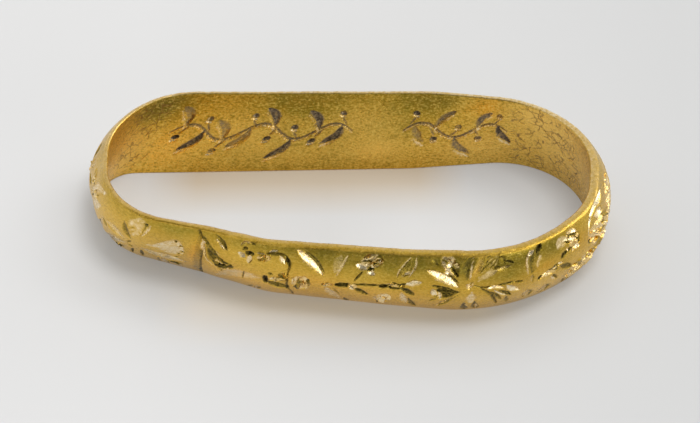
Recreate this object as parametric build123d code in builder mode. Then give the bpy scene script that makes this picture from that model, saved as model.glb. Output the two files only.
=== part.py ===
"""Posy ring: one gold band, pressed out of round, lying on its side edge.

Millimetres. The origin is the middle of the footprint, X runs along the long
way of the pressed ring, Y goes away from the front, Z is up.
"""
import os
from math import atan2, cos, tan

from build123d import *

# The band's width, the shares of it at which the outer face has a section, and the
# step up the wall that gives its slope; then the cutters' shoulder and top
BAND_WIDTH = 4.6
SECTION_SHARES = [0.0, 0.25, 0.5, 0.75, 1.0]
SLOPE_STEP = 0.1
SHOULDER_SHARE = 0.22
CUTTER_TOP = 0.3

# The outlines of the inner face at the upper and the lower rim are polygons with
# rounded corners. The outer face stands off them by the rim, plus the dome halfway up.
# corner, upper x, y, radius, lower x, y, radius, rim, dome
CORNERS = [
    ("dent_left", -6.50, -3.71, 2.6, -6.90, -1.71, 1.6, 0.30, 0.64),
    ("dent_right", -3.90, -4.58, 3.0, -3.55, -3.06, 3.0, 0.34, 0.85),
    ("front_middle", 2.60, -5.26, 12.0, 2.05, -3.91, 12.0, 0.36, 0.95),
    ("front_right", 8.00, -5.46, 6.0, 7.15, -4.51, 7.2, 0.38, 0.95),
    ("right_front", 11.15, -2.16, 3.9, 10.60, -1.71, 3.2, 0.38, 0.58),
    ("right_end", 11.35, 1.64, 4.0, 11.65, 1.24, 3.0, 0.35, 0.66),
    ("back_right", 9.15, 4.74, 5.4, 9.95, 5.84, 4.2, 0.22, 0.62),
    ("back_middle", 4.05, 5.44, 9.0, 2.95, 5.14, 9.0, 0.20, 0.68),
    ("back_left", -11.30, 5.44, 4.2, -12.60, 4.74, 1.7, 0.15, 0.68),
    ("left_front", -11.30, -2.51, 3.7, -10.65, -0.41, 2.4, 0.18, 0.58),
]

# Engraved cuts on the outer face. Along runs from the crease in the front wall to
# the right and round the ring, up from the lower rim, turn in degrees from along.
# cut, along, up, length, width, depth, turn
CUTS = [
    ("crease", -0.14, 2.44, 4.2, 0.34, 0.14, -84),
    ("end_petal_upper", -3.60, 3.14, 1.2, 0.36, 0.11, -56),
    ("end_petal_left", -4.74, 2.38, 1.6, 0.34, 0.10, -8),
    ("end_petal_low", -4.18, 1.50, 1.5, 0.34, 0.10, -10),
    ("end_petal_right", -1.94, 2.56, 1.9, 0.60, 0.11, 8),
    ("end_petal_foot", -1.70, 1.06, 1.4, 0.34, 0.10, -8),
    ("crescent_upper", 0.36, 3.42, 1.5, 0.32, 0.12, -60),
    ("crescent_lower", 1.40, 2.56, 1.2, 0.36, 0.12, -20),
    ("small_leaf", 1.04, 4.06, 1.0, 0.28, 0.11, -53),
    ("sprig_leaf", 2.32, 3.72, 0.6, 0.30, 0.11, -30),
    ("sprig_stem", 3.70, 3.92, 1.3, 0.16, 0.07, 19),
    ("sprig_drop", 4.58, 3.34, 0.9, 0.18, 0.08, -95),
    ("lower_leaf", 4.00, 2.00, 1.2, 0.34, 0.11, -38),
    ("hatched_bud", 5.22, 2.24, 1.3, 0.50, 0.10, -59),
    ("bright_leaf", 5.58, 3.76, 1.7, 0.44, 0.13, -52),
    ("faint_leaf", 6.86, 3.86, 1.4, 0.32, 0.09, -108),
    ("round_bud", 8.18, 3.98, 1.4, 0.62, 0.11, 49),
    ("bud_stem", 7.66, 3.20, 0.6, 0.16, 0.07, -110),
    ("stem_left", 7.08, 2.56, 0.9, 0.20, 0.08, 0),
    ("stem_leaf", 7.94, 2.10, 1.1, 0.32, 0.11, -50),
    ("stem_middle", 8.56, 2.80, 1.1, 0.18, 0.08, 5),
    ("stem_right", 9.78, 2.50, 1.3, 0.34, 0.12, -31),
    ("light_leaf", 10.14, 3.04, 0.8, 0.28, 0.10, 38),
    ("pale_leaf_left", 6.72, 1.52, 1.1, 0.34, 0.09, -61),
    ("pale_leaf_middle", 8.82, 1.46, 1.2, 0.34, 0.09, -30),
    ("open_leaf", 9.68, 3.90, 1.2, 0.42, 0.09, 64),
    ("flower_petal_bright", 11.40, 3.32, 1.6, 0.46, 0.14, -34),
    ("flower_petal_dark", 11.52, 2.54, 1.5, 0.42, 0.13, -22),
    ("flower_petal_hatched", 11.10, 4.02, 1.2, 0.46, 0.10, -30),
    ("flower_petal_wedge", 12.22, 3.90, 1.2, 0.42, 0.13, -76),
    ("flower_petal_fluted", 13.30, 3.88, 1.3, 0.56, 0.12, 61),
    ("flower_petal_long", 14.30, 3.54, 1.2, 0.32, 0.11, 22),
    ("flower_thin_line", 14.12, 2.80, 1.0, 0.16, 0.08, 4),
    ("flower_leaf_end", 15.20, 2.46, 0.9, 0.28, 0.11, -47),
    ("flower_petal_right", 14.34, 1.72, 1.3, 0.40, 0.12, -45),
    ("flower_petal_bottom", 13.16, 1.74, 1.3, 0.42, 0.12, -62),
    ("flower_petal_corner", 12.14, 1.68, 1.2, 0.38, 0.12, 65),
    ("tall_lens", 16.14, 3.56, 1.6, 0.50, 0.13, 76),
    ("right_bud", 18.22, 3.70, 1.4, 0.66, 0.12, 37),
    ("bead_line", 16.72, 2.42, 0.6, 0.20, 0.08, 23),
    ("right_leaf_upper", 17.94, 2.40, 1.2, 0.34, 0.11, -13),
    ("right_leaf_lower", 17.56, 1.66, 0.9, 0.30, 0.10, 35),
    ("right_lens", 20.54, 3.80, 1.6, 0.40, 0.13, 29),
    ("right_relief", 20.64, 2.70, 1.7, 0.46, 0.11, -12),
    ("right_low_leaf", 19.84, 1.40, 1.2, 0.38, 0.10, 18),
]

# The sprig that repeats round the far side, placed from each sprig's start.
# cut, along, up, length, width, depth, turn
FAR_SPRIG = [
    ("stem", 1.30, 2.20, 1.9, 0.18, 0.08, 14),
    ("leaf_upper", 1.70, 3.30, 1.3, 0.40, 0.12, 52),
    ("leaf_lower", 1.60, 1.20, 1.2, 0.40, 0.12, -50),
    ("petal_left", 3.25, 2.40, 1.1, 0.40, 0.12, 5),
    ("petal_upper", 4.20, 3.45, 1.1, 0.42, 0.12, 80),
    ("petal_right", 5.15, 2.60, 1.1, 0.40, 0.12, 10),
    ("petal_low_left", 3.70, 1.35, 1.1, 0.40, 0.12, 58),
    ("petal_low_right", 4.80, 1.35, 1.1, 0.40, 0.12, -58),
]
FAR_SPRIG_START = 22.2
FAR_SPRIG_COUNT = 5
FAR_SPRIG_PITCH = 6.6


def outline_corners(share, outer):
    """Corner points and radii of one outline, at a share of the height."""
    rows = []
    for _, top_x, top_y, top_r, low_x, low_y, low_r, rim, dome in CORNERS:
        stand_off = (rim + dome * 4 * share * (1 - share)) if outer else 0
        rows.append((
            Vector(low_x + (top_x - low_x) * share, low_y + (top_y - low_y) * share),
            low_r + (top_r - low_r) * share,
            stand_off,
        ))
    moved = []
    for number, (point, radius, stand_off) in enumerate(rows):
        before = (point - rows[number - 1][0]).normalized()
        after = (rows[(number + 1) % len(rows)][0] - point).normalized()
        outward = Vector(before.Y + after.Y, -before.X - after.X).normalized()
        share_across = outward.X * before.Y - outward.Y * before.X
        left_turn = before.X * after.Y - before.Y * after.X > 0
        moved.append((
            point + outward * (stand_off / share_across),
            radius + stand_off if left_turn else radius - stand_off,
        ))
    return moved


def corner_arc(before, corner, after, radius):
    """Start, middle and end of the arc that rounds one corner."""
    inward = (corner - before).normalized()
    onward = (after - corner).normalized()
    turn = atan2(inward.X * onward.Y - inward.Y * onward.X, inward.dot(onward))
    reach = radius * tan(abs(turn) / 2)
    to_centre = (onward - inward).normalized()
    middle_depth = radius * (1 / cos(turn / 2) - 1)
    return corner - inward * reach, corner + to_centre * middle_depth, corner + onward * reach


def outline_edges(share, outer):
    """Edges of one outline in order: the arc at each corner, then its straight side."""
    corners = outline_corners(share, outer)
    height = Vector(0, 0, share * BAND_WIDTH)
    arcs = []
    for number, (corner, radius) in enumerate(corners):
        before = corners[number - 1][0]
        after = corners[(number + 1) % len(corners)][0]
        start, middle, end = corner_arc(before, corner, after, radius)
        arcs.append((start + height, middle + height, end + height))
    edges = []
    for number, (start, middle, end) in enumerate(arcs):
        next_start = arcs[(number + 1) % len(arcs)][0]
        edges.append(Edge.make_three_point_arc(start, middle, end))
        edges.append(Edge.make_line(end, next_start))
    return edges


def band_wall(outer):
    """Solid inside one face of the band, lofted through its outlines."""
    shares = SECTION_SHARES if outer else [0.0, 1.0]
    sections = [Face(Wire(outline_edges(share, outer))) for share in shares]
    return Solid.make_loft([face.outer_wire() for face in sections], ruled=not outer)


def outer_station(along, up, middle_edges):
    """Plane on the outer face: X along the band, Y up it, Z outward."""
    lengths = [edge.length for edge in middle_edges]
    rest = (along + lengths[0] / 2) % sum(lengths)
    number = 0
    while rest > lengths[number]:
        rest -= lengths[number]
        number += 1
    spot = rest / lengths[number]
    share = up / BAND_WIDTH
    step = SLOPE_STEP / BAND_WIDTH
    here = outline_edges(share, True)[number]
    above = outline_edges(share + step, True)[number] @ spot
    below = outline_edges(share - step, True)[number] @ spot
    along_way = here % spot
    outward = along_way.cross(above - below).normalized()
    return Plane(origin=here @ spot, x_dir=along_way, z_dir=outward)


def leaf_cutter(length, width, depth):
    """Six-sided block with a keel underneath: it leaves a leaf-shaped V cut in a face."""
    tip = length / 2
    side = width / 2
    shoulder = length * SHOULDER_SHARE
    outline = [
        (tip, 0), (shoulder, side), (-shoulder, side),
        (-tip, 0), (-shoulder, -side), (shoulder, -side),
    ]
    upper = [Vector(x, y, CUTTER_TOP) for x, y in outline]
    lower = [Vector(x, y, 0) for x, y in outline]
    right_keel = Vector(shoulder, 0, -depth)
    left_keel = Vector(-shoulder, 0, -depth)
    walls = []
    for number in range(6):
        after = (number + 1) % 6
        walls.append([lower[number], lower[after], upper[after], upper[number]])
    facets = [
        [lower[0], lower[1], right_keel],
        [lower[1], lower[2], left_keel, right_keel],
        [lower[2], lower[3], left_keel],
        [lower[3], lower[4], left_keel],
        [lower[4], lower[5], right_keel, left_keel],
        [lower[5], lower[0], right_keel],
    ]
    faces = [Face(Wire.make_polygon(points)) for points in [upper] + walls + facets]
    return Solid(Shell(faces))


def all_cuts():
    """The cuts of the near side, then the far side's sprigs."""
    cuts = [row[1:] for row in CUTS]
    for number in range(FAR_SPRIG_COUNT):
        start = FAR_SPRIG_START + number * FAR_SPRIG_PITCH
        for _, along, up, length, width, depth, turn in FAR_SPRIG:
            cuts.append((start + along, up, length, width, depth, turn))
    return cuts


def cutters():
    """Every leaf cutter, standing at its place on the outer face."""
    middle_edges = outline_edges(0.5, True)
    placed = []
    for along, up, length, width, depth, turn in all_cuts():
        station = outer_station(along, up, middle_edges)
        placed.append(station * Rot(0, 0, turn) * leaf_cutter(length, width, depth))
    return placed


with BuildPart() as ring_band:
    add(band_wall(True))
    add(band_wall(False), mode=Mode.SUBTRACT)
    add(cutters(), mode=Mode.SUBTRACT)
ring_band.part.label = "ring_band"

box = ring_band.part.bounding_box()
print("size", box.size, "centre", box.center())
print("volume", ring_band.part.volume, "solids", len(ring_band.part.solids()))
print("valid", ring_band.part.is_valid, "faces", len(ring_band.part.faces()))

os.makedirs("parts", exist_ok=True)
export_step(ring_band.part, "parts/ring_band.step")
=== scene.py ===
"""Posy ring of worn gold, lying on its side edge on a pale floor.

The CAD band is dressed by one closed mesh of the same outlines, with its engraving
cut into the mesh itself. Charts of the outer and inner face give every cut a place
in millimetres: along the band from the crease in the front wall, to the right and
round the ring, and up from the lower rim.
"""
import math

import bpy
import numpy as np
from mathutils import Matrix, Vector


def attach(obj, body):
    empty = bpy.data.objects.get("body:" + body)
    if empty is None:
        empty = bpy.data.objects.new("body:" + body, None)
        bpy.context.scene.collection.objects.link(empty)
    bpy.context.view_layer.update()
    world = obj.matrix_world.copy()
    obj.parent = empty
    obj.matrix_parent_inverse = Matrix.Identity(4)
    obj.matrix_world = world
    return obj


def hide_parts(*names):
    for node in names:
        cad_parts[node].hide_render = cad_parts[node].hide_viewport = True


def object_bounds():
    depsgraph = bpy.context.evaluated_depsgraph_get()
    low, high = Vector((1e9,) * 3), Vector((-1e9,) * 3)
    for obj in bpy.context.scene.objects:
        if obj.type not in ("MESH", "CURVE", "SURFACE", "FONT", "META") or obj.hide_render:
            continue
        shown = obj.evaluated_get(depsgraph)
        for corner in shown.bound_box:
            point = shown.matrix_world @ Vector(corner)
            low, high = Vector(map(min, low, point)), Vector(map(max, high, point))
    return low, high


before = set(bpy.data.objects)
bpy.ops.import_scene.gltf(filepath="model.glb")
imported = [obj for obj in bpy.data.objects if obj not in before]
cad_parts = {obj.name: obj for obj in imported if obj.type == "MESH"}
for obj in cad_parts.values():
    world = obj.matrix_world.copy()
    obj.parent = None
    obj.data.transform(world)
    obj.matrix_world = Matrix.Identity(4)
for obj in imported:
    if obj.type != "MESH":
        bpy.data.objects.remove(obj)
CAD_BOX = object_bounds()
MM = 0.001
SEED = 11

# Band, as in the part's source
BAND_WIDTH = 4.6
# upper x, y, radius, lower x, y, radius, rim, dome
CORNERS = [
    (-6.5, -3.71, 2.6, -6.9, -1.71, 1.6, 0.3, 0.64),  # dent left
    (-3.9, -4.58, 3, -3.55, -3.06, 3, 0.34, 0.85),  # dent right
    (2.6, -5.26, 12, 2.05, -3.91, 12, 0.36, 0.95),  # front middle
    (8, -5.46, 6, 7.15, -4.51, 7.2, 0.38, 0.95),  # front right
    (11.15, -2.16, 3.9, 10.6, -1.71, 3.2, 0.38, 0.58),  # right front
    (11.35, 1.64, 4, 11.65, 1.24, 3, 0.35, 0.66),  # right end
    (9.15, 4.74, 5.4, 9.95, 5.84, 4.2, 0.22, 0.62),  # back right
    (4.05, 5.44, 9, 2.95, 5.14, 9, 0.2, 0.68),  # back middle
    (-11.3, 5.44, 4.2, -12.6, 4.74, 1.7, 0.15, 0.68),  # back left
    (-11.3, -2.51, 3.7, -10.65, -0.41, 2.4, 0.18, 0.58),  # left front
]

# Lattice of the mesh: columns along the band, and rows up each face and over each
# rim. A cell of the coarse lattice is CELL columns by CELL rows.
COLUMNS = 1536
FACE_ROWS = 112
RIM_ROWS = 8
CELL = 4
OUTER_ROWS = slice(0, FACE_ROWS)
UPPER_RIM = slice(FACE_ROWS, FACE_ROWS + RIM_ROWS)
INNER_ROWS = slice(FACE_ROWS + RIM_ROWS, 2 * FACE_ROWS + RIM_ROWS)
# A cell is split where the surface or its tone bends by more than a limit, which rises
# from the first one until the triangles are few enough.
FIRST_LIMIT = 0.0008
LIMIT_STEP = 1.12
HALF_CELL_LIMIT = 1.5
TONE_WEIGHT = 0.008
MOST_TRIANGLES = 190000
ROUGH_SHARE = 0.93
SHARP_EDGE = 34

# Rims: radius of their edges, share of the wall that the upper outer edge rolls over,
# and wear of the upper rim, in waves round the band, over the top sixth of the wall
EDGE_RADIUS = 0.05
ROLL_SHARE = 0.16
RIM_WEAR = 0.045
RIM_WAVES = range(6, 110)
WEAR_ZONE = 6
# Height over which swells fade out beside a rim, and how much faster cuts do
SWELL_FADE = 0.45
CUT_FADE = 4
# Painted highlight over the upper rim, from its outer to its inner edge, paler on walls that face the back
FRONT_RIM_HIGHLIGHT = np.array([0.0, 0.0, 0.1, 0.2, 0.3, 0.4, 0.6, 0.6])
BACK_RIM_HIGHLIGHT = np.array([1.0, 1.0, 0.9, 0.8, 0.8, 0.7, 0.7, 0.7])

# Layers of the finish that a chart holds; light holds painted light and painted shade
FINISH = ("tone", "warmth", "light", "polish", "cracks")

# Cuts on the outer face. The spine runs from the stalk to the tip. Fullness near 0 gives
# an even stroke and 1 a pointed leaf. Tone runs from -1, black with dirt and painted shade,
# over 0, plain gold, to 1 and more, pale painted highlight. Keel is the side that the deepest
# line lies to, from -1 to 1. Belly above 1 moves the widest place to the tip. Later rows lie on top.
# spine, width, depth, fullness, tone, and keel 0, belly 1, flutes 0 where they are left out
OUTER_CUTS = [
    # Flower at the left end
    ([(-5.45, 4.28), (-6.3, 3.8), (-7, 3.05), (-7.9, 2.2)], 0.5, 0.09, 0.85, 0.8, 0.1, 0.8, 3),
    ([(-5.5, 3.4), (-6.3, 2.8), (-7.3, 2)], 0.74, 0.09, 0.95, 1.1, 0, 1, 5),
    ([(-5.9, 3.66), (-6.5, 3.12), (-7.5, 2.2)], 0.15, 0.09, 0.5, -0.5),
    ([(-5.24, 2.9), (-5.66, 1.96), (-6.5, 1.06), (-7.2, 0.5)], 0.6, 0.06, 1.05, 0.2),
    ([(-5.56, 2.36), (-5.95, 1.84), (-6.95, 1.02)], 0.2, 0.12, 0.8, -0.85),
    ([(-5.24, 2.86), (-4.92, 2.36)], 0.26, 0.08, 1.15, -0.5),
    ([(-3.68, 2.42), (-4.3, 2.68), (-5, 2.84)], 0.6, 0.08, 1.05, 0.8, 0.1, 1.4, 4),
    ([(-3.64, 2.08), (-4.4, 1.7), (-5.05, 1.2), (-5.9, 0.6)], 0.8, 0.09, 0.95, 1.1, 0, 1.2, 5),
    ([(-4.5, 1.8), (-5.05, 1.08), (-5.95, 0.36)], 0.12, 0.07, 0.4, -0.5),
    ([(-3.34, 2.98), (-3.42, 4.44)], 1.08, 0.06, 0.95, 0.75, 0, 1.3, 5),
    ([(-2.9, 4.16), (-2.92, 3.7), (-3.04, 3.16)], 0.12, 0.06, 0.5, 0.9, 0.2),
    ([(-3.66, 4.2), (-3.62, 3.7), (-3.42, 3.26)], 0.1, 0.06, 0.5, -0.45),
    ([(-3.2, 4.24), (-3.06, 3.9), (-3.1, 3.4)], 0.1, 0.06, 0.5, -0.45),
    ([(-3.38, 2.64), (-3.74, 3.12), (-4.02, 3.8)], 0.32, 0.1, 1.1, -0.5, 0.3, 1.1),
    ([(-2.98, 2.44), (-1.9, 2.78), (-0.74, 2.8)], 1.56, 0.06, 1.05, 1.25, 0, 2.2, 6),
    ([(-2.9, 2.16), (-1.9, 1.66), (-0.62, 1.56)], 0.84, 0.09, 0.9, 1.1, 0, 1.3, 5),
    ([(-2.78, 1.9), (-2.56, 0.8)], 0.26, 0.1, 0.9, -0.75),
    ([(-3.22, 1.8), (-3.34, 0.8)], 0.24, 0.1, 0.9, -0.65),
    ([(-1.62, 1.3), (-1.5, 0.06)], 0.44, 0.08, 0.85, 0.8, 0.4),
    ([(-0.92, 1), (-0.84, 0.06)], 0.24, 0.08, 0.85, 0.9, 0.4),
    ([(-1.88, 1.3), (-1.8, 0.06)], 0.12, 0.08, 0.5, -0.5),
    # Crescent and sprig right of the crease
    # Painted shade: a soft dark strip left of the crease
    ([(-0.2, 4.2), (-0.15, 2.6), (-0.06, 0.6)], 0.34, 0.03, 0.3, -0.25, 0.3),
    ([(-0.02, 3.84), (0.08, 3.24), (0.36, 2.66)], 0.28, 0.08, 0.9, 0.9, 0.5),
    ([(-0.1, 4.12), (0.42, 3.62), (1.02, 3.24)], 0.12, 0.05, 0.5, 0.8, 0.4),
    ([(-0.44, 4.52), (-0.02, 4.06), (0.36, 3.66), (1, 3.04)], 0.2, 0.1, 0.5, -0.6, 0.4, 1.2),
    ([(0.1, 3.86), (0.5, 3.2), (0.92, 2.76), (1.34, 2.52), (1.86, 2.68)], 0.74, 0.12, 1.1, -0.5, 0, 1.5, 5),
    ([(0.04, 3.2), (0.44, 2.56), (1, 2.18)], 0.13, 0.04, 0.6, 0.7, 0.4),
    ([(0.92, 1.1), (1.42, 1.8), (2.14, 2.2), (3.24, 2.34)], 0.78, 0.04, 0.8, 0.75),
    ([(1.04, 2.5), (1.22, 1.86)], 0.3, 0.09, 1.15, -0.5, 0, 0.8),
    ([(0.54, 4.5), (1.38, 3.7)], 0.36, 0.14, 1.05, -0.65, 0.3, 1.1),
    ([(0.62, 4.24), (1.24, 3.68)], 0.13, 0.08, 0.5, 1, 0.4),
    ([(2.34, 2.56), (2.2, 1.76)], 0.12, 0.07, 0.5, -0.6, 0.4),
    ([(2.16, 0.4), (2.6, 1.24)], 0.15, 0.06, 0.6, -0.5),
    ([(2.46, 0.4), (2.9, 1.42)], 0.2, 0.06, 0.95, 0.8, 0.4),
    ([(2.66, 0.7), (3.04, 1.28)], 0.2, 0.08, 0.95, -0.65),
    ([(1.98, 4.2), (2.16, 4.44), (2.6, 4.5)], 0.14, 0.07, 0.4, 0.5, -0.3),
    ([(2.12, 4.04), (2.44, 4.18)], 0.26, 0.11, 1.05, -0.6),
    ([(2.32, 3.88), (2.82, 3.92)], 0.3, 0.13, 0.6, -1),
    ([(1.92, 3.78), (2.38, 3.6)], 0.36, 0.12, 0.95, 1, 0.6),
    ([(2.62, 3.82), (2.54, 3.22)], 0.36, 0.12, 1.15, 1, 0.6, 0.8),
    ([(2.94, 4.04), (3.48, 4.04)], 0.12, 0.06, 0.5, 0.9, 0.4),
    ([(3.74, 4.2), (4.18, 4.3)], 0.16, 0.07, 0.6, 1, 0.5),
    ([(3.54, 4.1), (4.28, 4.12), (4.56, 3.88), (4.62, 3.52), (4.5, 3)], 0.17, 0.09, 0.3, -0.5),
    ([(4.5, 4), (4.62, 3.46)], 0.22, 0.11, 0.6, -1),
    ([(4.22, 4.08), (4.4, 3.58)], 0.3, 0.11, 1.05, 1, 0.5, 1.2),
    ([(4.5, 3.04), (4.44, 2.4), (4.4, 1.88), (4.58, 1.2), (4.6, 0.46)], 0.15, 0.08, 0.3, -0.5),
    ([(3.42, 2.66), (3.38, 1.96)], 0.32, 0.14, 0.4, -1),
    ([(3.5, 2.2), (3.92, 1.92), (4.48, 1.84)], 0.62, 0.12, 0.7, -0.55, 0, 1, 5),
    ([(4.2, 3), (4.46, 2.48)], 0.32, 0.11, 0.95, -0.65, 0.3),
    ([(3.48, 2.88), (3.82, 2.8)], 0.24, 0.09, 0.95, -0.5),
    # Bright leaf, bud and open leaf in the middle
    ([(5, 4.42), (5.5, 3.86), (6.12, 3.12)], 0.42, 0.22, 0.7, 1, 0.5, 0.9),
    ([(5.24, 4.46), (5.74, 3.98), (6.18, 3.3)], 0.26, 0.1, 0.8, -0.6),
    ([(6.6, 3.3), (6.74, 3.9), (6.9, 4.4)], 0.48, 0.06, 0.9, 0.35),
    ([(6.7, 3.16), (7.14, 4.34)], 0.14, 0.05, 0.4, 0.7),
    ([(7.72, 4.12), (8.52, 4.36)], 0.56, 0.09, 0.95, 0.8, 0.2, 1, 3),
    ([(7.52, 3.92), (8.06, 3.72)], 0.36, 0.12, 0.8, 1.2, 0.2, 0.9),
    ([(7.86, 3.56), (7.54, 2.98)], 0.14, 0.08, 0.3, -0.6),
    ([(9.6, 3.36), (9.92, 4.44)], 0.56, 0.07, 0.8, 0.2, 0, 1.1, 3),
    ([(9.38, 3.4), (9.52, 3.9), (9.88, 4.46)], 0.14, 0.07, 0.4, 0.8, -0.4),
    ([(9.9, 3.44), (10.08, 3.96), (10.08, 4.44)], 0.14, 0.07, 0.4, 0.8, 0.4),
    ([(9.68, 3.86), (9.8, 4.22)], 0.12, 0.08, 0.6, -0.5),
    # Stem with leaves below the bud
    ([(6.06, 2.3), (6.2, 2.5), (6.58, 2.54)], 0.18, 0.1, 0.4, -0.65),
    ([(6.66, 2.52), (7.42, 2.62)], 0.4, 0.16, 0.35, -1),
    ([(7.44, 2.56), (8.28, 1.86)], 0.32, 0.12, 0.8, -0.85, 0, 1.1),
    ([(7.46, 2.72), (8.8, 2.82)], 0.17, 0.08, 0.3, -0.6),
    ([(8.68, 2.76), (9.08, 2.78)], 0.32, 0.13, 0.4, -1),
    ([(9.06, 2.8), (9.68, 2.74)], 0.34, 0.15, 0.4, -1),
    ([(9.56, 2.82), (9.94, 2.58), (10.4, 2.22)], 0.34, 0.12, 0.8, -0.85, 0, 1.2),
    ([(9.72, 2.98), (10.54, 3.18)], 0.42, 0.1, 0.95, 1, 0.5, 1.3),
    ([(6.26, 2.2), (6.54, 1.6), (6.86, 0.92)], 0.56, 0.07, 0.8, 0.95, 0, 1.1),
    ([(6.62, 2.18), (6.9, 1.5)], 0.12, 0.06, 0.5, -0.5),
    ([(8.84, 2.2), (8.78, 1.1)], 0.72, 0.08, 1.05, 0.8, 0.1, 1.2),
    ([(8.74, 1.6), (8.68, 0.92)], 0.15, 0.1, 0.7, -0.65),
    ([(9.72, 2.44), (9.96, 1.84), (10.22, 1.22)], 0.38, 0.08, 0.8, 1, 0, 1.1),
    ([(10.14, 2), (10.36, 1.5), (10.74, 0.82)], 0.28, 0.1, 0.95, -0.6),
    ([(7.08, 1.24), (7.24, 0.28)], 0.28, 0.09, 1.05, -0.8),
    # Large flower
    ([(12.74, 3.26), (12.8, 4.5)], 0.62, 0.05, 1, 0.2, 0, 1.8),
    ([(12.96, 3.44), (13.36, 4), (13.76, 4.48)], 0.92, 0.07, 0.95, 0.35, 0, 1.6, 4),
    ([(13, 3.2), (13.4, 3.58), (13.9, 3.78)], 0.46, 0.08, 0.95, 0.6, 0, 1.1),
    ([(13.8, 3.8), (14.6, 3.92)], 0.26, 0.07, 0.95, 0.3, 0.2),
    ([(13.5, 3.94), (14.08, 3.96)], 0.12, 0.07, 0.6, -0.45),
    ([(12.98, 3.7), (13.16, 4.04), (13.46, 4.3)], 0.12, 0.07, 0.6, -0.55),
    ([(13, 4.44), (13.36, 4.52)], 0.16, 0.07, 0.6, -0.35),
    ([(13.8, 4.4), (14.1, 4.36), (14.22, 4.06)], 0.12, 0.06, 0.4, -0.35),
    ([(12.54, 3.2), (12.3, 3.86), (12.04, 4.52)], 0.74, 0.1, 0.9, -0.62, 0, 2),
    ([(12.62, 3.36), (12.28, 4.5)], 0.14, 0.07, 0.4, 0.8, 0.2),
    ([(10.62, 4.46), (10.92, 4.1)], 0.16, 0.07, 0.8, -0.5),
    ([(12.24, 2.92), (11.4, 3.42), (10.54, 3.88)], 0.44, 0.22, 0.8, 1, -0.5),
    ([(12.12, 3.22), (11.24, 3.8)], 0.13, 0.1, 0.5, -0.6),
    ([(12.4, 2.6), (11.8, 2.46), (11.02, 2.56)], 0.98, 0.16, 0.85, -0.6, -0.1, 1.2, 4),
    ([(10.94, 3), (11.66, 2.9)], 0.16, 0.09, 0.6, -0.75),
    ([(11.06, 2.86), (11.2, 2.5), (11.44, 2.14)], 0.3, 0.17, 0.95, 1.3, 0, 1.2),
    ([(11.46, 2.4), (11.7, 2)], 0.22, 0.16, 0.95, 1.2, 0.3),
    ([(11.46, 2.04), (11.2, 1.76)], 0.18, 0.08, 1.05, -0.6),
    ([(12.44, 2.44), (12, 1.88), (11.6, 1.14)], 0.38, 0.1, 0.95, 0.8, 0.5, 1.4),
    ([(12.92, 3), (13.5, 2.84), (14.7, 2.9), (15.38, 2.84)], 0.15, 0.1, 0.4, -0.7),
    ([(14.56, 2.8), (14.92, 2.4), (15.4, 2.06)], 0.38, 0.14, 0.95, 1.2, 0.2, 1.1),
    ([(13.6, 2.72), (14.1, 2.74), (14.56, 2.58)], 0.24, 0.09, 0.9, 0.9, 0.2),
    ([(14.24, 2.5), (14.7, 2.14), (15.06, 1.76)], 0.26, 0.12, 0.95, -0.75, 0.1, 1.1),
    ([(14.8, 1.8), (15.06, 1)], 0.24, 0.08, 0.95, -0.5),
    ([(14.02, 2.56), (14.4, 2.16), (14.84, 1.84)], 0.16, 0.1, 0.8, 1, 0.2),
    ([(13.84, 2.5), (14.3, 2.02), (14.66, 1.5)], 0.22, 0.1, 0.9, -0.65),
    ([(13.32, 2.8), (13.9, 2.3), (14.2, 1.8), (14.52, 1.14)], 0.18, 0.09, 0.4, -0.6),
    ([(12.96, 2.62), (13.06, 2.1), (13.2, 1.5)], 0.46, 0.09, 0.95, 0.9, 0.2, 1.2),
    ([(12.84, 1.74), (12.92, 1.2), (13.12, 0.3)], 0.38, 0.11, 0.95, -0.65, 0, 1.2),
    ([(13.28, 1.82), (13.42, 1.28), (13.56, 0.6)], 0.34, 0.11, 0.95, -0.6, 0, 1.2),
    ([(13.52, 1.34), (13.68, 0.56)], 0.24, 0.08, 0.95, 0.9, 0.4),
    ([(12.52, 3.1), (12.86, 2.68)], 0.16, 0.09, 0.6, 0.6, 0.4),
    # Tall lens, bead line and right bud
    ([(15.84, 3.06), (16, 3.8), (16.14, 4.4)], 0.84, 0.07, 0.85, -0.2, 0, 1.2, 2),
    ([(15.62, 3.14), (15.5, 3.9), (15.72, 4.42)], 0.17, 0.06, 0.5, 0.75),
    ([(16.08, 3.3), (16.36, 4.1)], 0.2, 0.06, 0.6, 0.75, 0.2),
    ([(16.08, 4.14), (16.52, 4.56)], 0.32, 0.15, 0.6, -0.9, 0, 1.2),
    ([(15.6, 4.14), (15.98, 4.34)], 0.28, 0.13, 0.95, 1.2, 0.3),
    ([(15.84, 3.04), (15.98, 2.4)], 0.22, 0.06, 1.05, 0.4, 0.4),
    ([(17.36, 3.9), (17.7, 4.06), (18.24, 4.16)], 0.66, 0.07, 0.7, 0.75),
    ([(17.56, 3.2), (18, 3.5)], 0.32, 0.14, 0.6, -0.9),
    ([(18.2, 3.74), (18.86, 3.56)], 0.4, 0.08, 0.8, 0.7, 0.2),
    ([(18.2, 4.24), (18.6, 4.4)], 0.2, 0.07, 0.8, 0.7),
    ([(17.06, 2.96), (17.5, 2.74)], 0.2, 0.08, 0.85, -0.6),
    ([(17.46, 2.78), (17.9, 2.44), (18.34, 2.06)], 0.4, 0.09, 1, -0.35, 0.1, 1, 3),
    ([(17.02, 2.26), (17.44, 1.7)], 0.2, 0.1, 0.95, 1.1, 0.2),
    ([(17.12, 2.36), (17.54, 1.7)], 0.18, 0.1, 0.8, -0.6),
    ([(18.06, 1.24), (18.44, 0.72), (18.84, 0.1)], 0.16, 0.1, 0.9, -0.65),
    ([(18.22, 1.24), (18.98, 0.3)], 0.12, 0.06, 0.5, 0.8, 0.4),
    ([(15.78, 1.94), (16.14, 0.9)], 0.64, 0.07, 1.05, 0.6, 0.4, 1.2, 3),
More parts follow.
